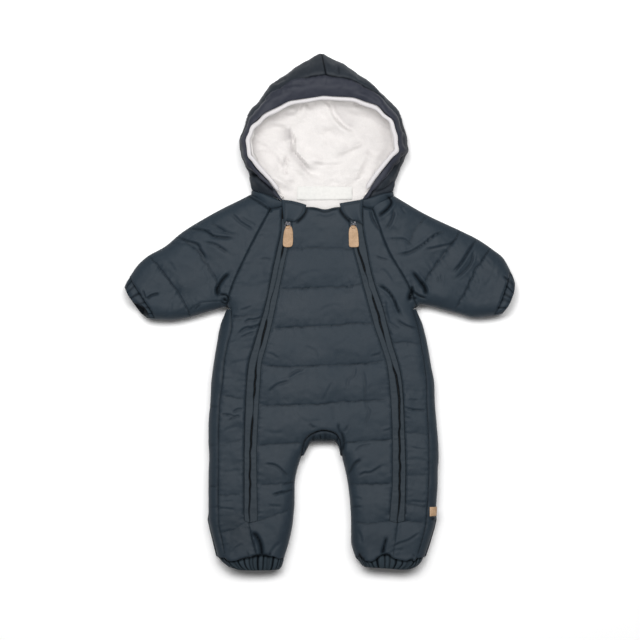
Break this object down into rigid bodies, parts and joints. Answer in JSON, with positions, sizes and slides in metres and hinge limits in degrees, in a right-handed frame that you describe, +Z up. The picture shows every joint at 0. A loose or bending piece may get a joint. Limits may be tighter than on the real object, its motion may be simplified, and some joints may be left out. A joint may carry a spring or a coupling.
{
  "type": "baby snowsuit",
  "caption": "Padded hooded one-piece for a baby, laid on its back: quilted body, sleeves and legs, pile-lined open hood, front zips with leather pulls.",
  "frame": {"origin": "on the surface that the suit lies on, under the middle of its bounding box", "axes": "+Z up from that surface, through the front; +Y from the feet to the hood; +X towards the wearer's left"},
  "size_m": [0.5663, 0.754, 0.0516],
  "materials": {
    "padded_cloth": "dark blue-grey quilted nylon with a slight sheen",
    "elastic_cloth": "dark gathered elastic cloth, matte",
    "pile_lining": "white terry pile",
    "white_tape": "smooth woven tape, bare",
    "zip_tape": "dark woven zip tape",
    "slider_metal": "dark nickel, satin",
    "leather": "tan grained leather"
  },
  "bodies": {
    "garment": {"back": "padded_cloth", "front_centre": "padded_cloth", "front_side_left": "padded_cloth", "front_side_right": "padded_cloth", "crotch_gusset": "padded_cloth", "sleeve_left": "padded_cloth", "sleeve_right": "padded_cloth", "cuff_left": "padded_cloth", "cuff_right": "padded_cloth", "foot_cover_left": "padded_cloth", "foot_cover_right": "padded_cloth", "hood_left": "padded_cloth", "hood_right": "padded_cloth", "hood_brim": "padded_cloth", "neck_band": "padded_cloth", "chin_guard_left": "padded_cloth", "chin_guard_right": "padded_cloth", "zip_left_welt_outer": "padded_cloth", "zip_left_welt_inner": "padded_cloth", "zip_right_welt_outer": "padded_cloth", "zip_right_welt_inner": "padded_cloth", "hem_left": "elastic_cloth", "hem_right": "elastic_cloth", "lining_left": "pile_lining", "lining_right": "pile_lining", "lining_rim": "pile_lining", "neck_label": "white_tape", "zip_tape_left": "zip_tape", "zip_tape_right": "zip_tape", "slider_left": "slider_metal", "slider_right": "slider_metal", "side_tag": "leather"},
    "pull_left": {"bail_left": "slider_metal", "leather_pull_left": "leather"},
    "pull_right": {"bail_right": "slider_metal", "leather_pull_right": "leather"}
  },
  "joints": [
    {"name": "pull_left_swing", "type": "hinge", "parent": "garment", "child": "pull_left", "pos_m": [-0.0458, 0.1282, 0.0323], "axis": [-1, 0, 0], "range_deg": [0, 110]},
    {"name": "pull_right_swing", "type": "hinge", "parent": "garment", "child": "pull_right", "pos_m": [0.0492, 0.1282, 0.0323], "axis": [-1, 0, 0], "range_deg": [0, 110]}
  ]
}
